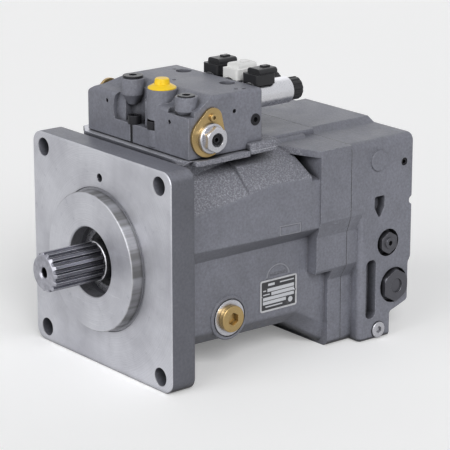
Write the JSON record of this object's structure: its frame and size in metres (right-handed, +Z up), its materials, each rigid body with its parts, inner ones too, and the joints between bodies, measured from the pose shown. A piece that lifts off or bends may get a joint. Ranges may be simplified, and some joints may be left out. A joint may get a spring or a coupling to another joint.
{
  "type": "axial piston pump",
  "caption": "Variable axial piston pump: swashplate, pistons and slippers, splined shaft, square four-bolt flange and a top control block with solenoids.",
  "frame": {"origin": "centre of the flange's mounting face on the shaft axis", "axes": "-Y out along the shaft end, +Y into the body, +Z up to the control block, +X to the side with the name plate"},
  "size_m": [0.273, 0.4728, 0.3485],
  "materials": {
    "cast": "dark grey semi-matte paint",
    "machined": "machined steel",
    "shaft_steel": "ground and splined steel",
    "bronze": "bearing bronze",
    "gold_zinc": "yellow chromate zinc",
    "black_steel": "black oxide",
    "zinc": "bright zinc",
    "black_plastic": "moulded",
    "white_plastic": "moulded",
    "yellow_plastic": "moulded",
    "rubber": "matte",
    "plate": "printed aluminium"
  },
  "bodies": {
    "casing": {"flange_housing": "cast", "rear_housing": "cast", "housing_gasket": "rubber", "charge_cover": "cast", "control_block": "cast", "housing_bolts": "black_steel", "socket_screws": "black_steel", "case_plug": "gold_zinc", "case_plug_ring": "zinc", "drain_plug": "zinc", "relief_cartridge": "black_steel", "check_valve_cap": "black_steel", "socket_plugs": "black_steel", "port_cap": "yellow_plastic", "name_plate": "plate", "adjuster_plates": "gold_zinc", "adjuster_housing": "zinc", "solenoid_coils": "zinc", "coil_nuts": "black_plastic", "connectors_black": "black_plastic", "connector_white": "white_plastic", "front_bearing_cup": "machined", "rear_bearing_cup": "machined", "shaft_seal": "rubber", "seal_ring": "zinc", "cradle_shells": "bronze", "valve_plate": "machined"},
    "rotor": {"drive_shaft": "shaft_steel", "front_bearing_cone": "machined", "rear_bearing_cone": "machined", "cylinder_block": "machined", "retainer_ball": "machined", "block_spring": "shaft_steel", "charge_inner_rotor": "machined"},
    "charge_ring": {"charge_outer_rotor": "machined"},
    "swash": {"swashplate": "machined"},
    "retainer": {"slipper_retainer": "machined"},
    "servo": {"servo_piston": "machined"},
    "adjuster": {"adjuster_screw": "black_steel"},
    "slipper_1": {"slipper_1": "bronze"},
    "piston_1": {"piston_1": "machined"},
    "slipper_2": {"slipper_2": "bronze"},
    "piston_2": {"piston_2": "machined"},
    "slipper_3": {"slipper_3": "bronze"},
    "piston_3": {"piston_3": "machined"},
    "slipper_4": {"slipper_4": "bronze"},
    "piston_4": {"piston_4": "machined"},
    "slipper_5": {"slipper_5": "bronze"},
    "piston_5": {"piston_5": "machined"},
    "slipper_6": {"slipper_6": "bronze"},
    "piston_6": {"piston_6": "machined"},
    "slipper_7": {"slipper_7": "bronze"},
    "piston_7": {"piston_7": "machined"},
    "slipper_8": {"slipper_8": "bronze"},
    "piston_8": {"piston_8": "machined"},
    "slipper_9": {"slipper_9": "bronze"},
    "piston_9": {"piston_9": "machined"},
    "spool_1": {"control_spool_1": "machined"},
    "spool_2": {"control_spool_2": "machined"},
    "spool_3": {"control_spool_3": "machined"}
  },
  "joints": [
    {"name": "shaft_spin", "type": "hinge", "parent": "casing", "child": "rotor", "pos_m": [0, 0, 0], "axis": [0, 1, 0], "continuous": true},
    {"name": "charge_ring_spin", "type": "hinge", "parent": "casing", "child": "charge_ring", "pos_m": [-0.0032, 0.35, 0], "axis": [0, 1, 0], "continuous": true},
    {"name": "swash_tilt", "type": "hinge", "parent": "casing", "child": "swash", "pos_m": [0, 0.125, 0], "axis": [1, 0, 0], "range_deg": [-15, 15], "stiffness_Nm_per_rad": 60},
    {"name": "retainer_spin", "type": "hinge", "parent": "swash", "child": "retainer", "pos_m": [0, 0.125, 0], "axis": [0, 1, 0], "continuous": true},
    {"name": "slipper_1_spin", "type": "hinge", "parent": "retainer", "child": "slipper_1", "pos_m": [0.052, 0.125, 0], "axis": [0, 1, 0], "continuous": true},
    {"name": "piston_1_swing", "type": "hinge", "parent": "slipper_1", "child": "piston_1", "pos_m": [0.052, 0.125, 0], "axis": [1, 0, 0], "range_deg": [-15, 15]},
    {"name": "slipper_2_spin", "type": "hinge", "parent": "retainer", "child": "slipper_2", "pos_m": [0.03983, 0.125, 0.03343], "axis": [0, 1, 0], "continuous": true},
    {"name": "piston_2_swing", "type": "hinge", "parent": "slipper_2", "child": "piston_2", "pos_m": [0.03983, 0.125, 0.03343], "axis": [1, 0, 0], "range_deg": [-15, 15]},
    {"name": "slipper_3_spin", "type": "hinge", "parent": "retainer", "child": "slipper_3", "pos_m": [0.00903, 0.125, 0.05121], "axis": [0, 1, 0], "continuous": true},
    {"name": "piston_3_swing", "type": "hinge", "parent": "slipper_3", "child": "piston_3", "pos_m": [0.00903, 0.125, 0.05121], "axis": [1, 0, 0], "range_deg": [-15, 15]},
    {"name": "slipper_4_spin", "type": "hinge", "parent": "retainer", "child": "slipper_4", "pos_m": [-0.026, 0.125, 0.04503], "axis": [0, 1, 0], "continuous": true},
    {"name": "piston_4_swing", "type": "hinge", "parent": "slipper_4", "child": "piston_4", "pos_m": [-0.026, 0.125, 0.04503], "axis": [1, 0, 0], "range_deg": [-15, 15]},
    {"name": "slipper_5_spin", "type": "hinge", "parent": "retainer", "child": "slipper_5", "pos_m": [-0.04886, 0.125, 0.01778], "axis": [0, 1, 0], "continuous": true},
    {"name": "piston_5_swing", "type": "hinge", "parent": "slipper_5", "child": "piston_5", "pos_m": [-0.04886, 0.125, 0.01778], "axis": [1, 0, 0], "range_deg": [-15, 15]},
    {"name": "slipper_6_spin", "type": "hinge", "parent": "retainer", "child": "slipper_6", "pos_m": [-0.04886, 0.125, -0.01778], "axis": [0, 1, 0], "continuous": true},
    {"name": "piston_6_swing", "type": "hinge", "parent": "slipper_6", "child": "piston_6", "pos_m": [-0.04886, 0.125, -0.01778], "axis": [1, 0, 0], "range_deg": [-15, 15]},
    {"name": "slipper_7_spin", "type": "hinge", "parent": "retainer", "child": "slipper_7", "pos_m": [-0.026, 0.125, -0.04503], "axis": [0, 1, 0], "continuous": true},
    {"name": "piston_7_swing", "type": "hinge", "parent": "slipper_7", "child": "piston_7", "pos_m": [-0.026, 0.125, -0.04503], "axis": [1, 0, 0], "range_deg": [-15, 15]},
    {"name": "slipper_8_spin", "type": "hinge", "parent": "retainer", "child": "slipper_8", "pos_m": [0.00903, 0.125, -0.05121], "axis": [0, 1, 0], "continuous": true},
    {"name": "piston_8_swing", "type": "hinge", "parent": "slipper_8", "child": "piston_8", "pos_m": [0.00903, 0.125, -0.05121], "axis": [1, 0, 0], "range_deg": [-15, 15]},
    {"name": "slipper_9_spin", "type": "hinge", "parent": "retainer", "child": "slipper_9", "pos_m": [0.03983, 0.125, -0.03343], "axis": [0, 1, 0], "continuous": true},
    {"name": "piston_9_swing", "type": "hinge", "parent": "slipper_9", "child": "piston_9", "pos_m": [0.03983, 0.125, -0.03343], "axis": [1, 0, 0], "range_deg": [-15, 15]},
    {"name": "servo_slide", "type": "slide", "parent": "casing", "child": "servo", "axis": [0, 1, 0], "range_m": [-0.0268, 0.0268]},
    {"name": "spool_1_slide", "type": "slide", "parent": "casing", "child": "spool_1", "axis": [0, -1, 0], "range_m": [0, 0.003], "stiffness_N_per_m": 2500},
    {"name": "spool_2_slide", "type": "slide", "parent": "casing", "child": "spool_2", "axis": [0, -1, 0], "range_m": [0, 0.003], "stiffness_N_per_m": 2500},
    {"name": "spool_3_slide", "type": "slide", "parent": "casing", "child": "spool_3", "axis": [0, -1, 0], "range_m": [0, 0.003], "stiffness_N_per_m": 2500},
    {"name": "adjuster_turn", "type": "hinge", "parent": "casing", "child": "adjuster", "pos_m": [0.102, 0.079, 0.153], "axis": [1, 0, 0], "range_deg": [-180, 180]}
  ],
  "couplings": [
    {"joint": "charge_ring_spin", "follows": "shaft_spin", "ratio": 0.85714},
    {"joint": "retainer_spin", "follows": "shaft_spin", "ratio": 1},
    {"joint": "slipper_1_spin", "follows": "shaft_spin", "ratio": -1},
    {"joint": "piston_1_swing", "follows": "swash_tilt", "ratio": -1},
    {"joint": "slipper_2_spin", "follows": "shaft_spin", "ratio": -1},
    {"joint": "piston_2_swing", "follows": "swash_tilt", "ratio": -1},
    {"joint": "slipper_3_spin", "follows": "shaft_spin", "ratio": -1},
    {"joint": "piston_3_swing", "follows": "swash_tilt", "ratio": -1},
    {"joint": "slipper_4_spin", "follows": "shaft_spin", "ratio": -1},
    {"joint": "piston_4_swing", "follows": "swash_tilt", "ratio": -1},
    {"joint": "slipper_5_spin", "follows": "shaft_spin", "ratio": -1},
    {"joint": "piston_5_swing", "follows": "swash_tilt", "ratio": -1},
    {"joint": "slipper_6_spin", "follows": "shaft_spin", "ratio": -1},
    {"joint": "piston_6_swing", "follows": "swash_tilt", "ratio": -1},
    {"joint": "slipper_7_spin", "follows": "shaft_spin", "ratio": -1},
    {"joint": "piston_7_swing", "follows": "swash_tilt", "ratio": -1},
    {"joint": "slipper_8_spin", "follows": "shaft_spin", "ratio": -1},
    {"joint": "piston_8_swing", "follows": "swash_tilt", "ratio": -1},
    {"joint": "slipper_9_spin", "follows": "shaft_spin", "ratio": -1},
    {"joint": "piston_9_swing", "follows": "swash_tilt", "ratio": -1},
    {"joint": "servo_slide", "follows": "swash_tilt", "m_per_rad": -0.10232}
  ]
}
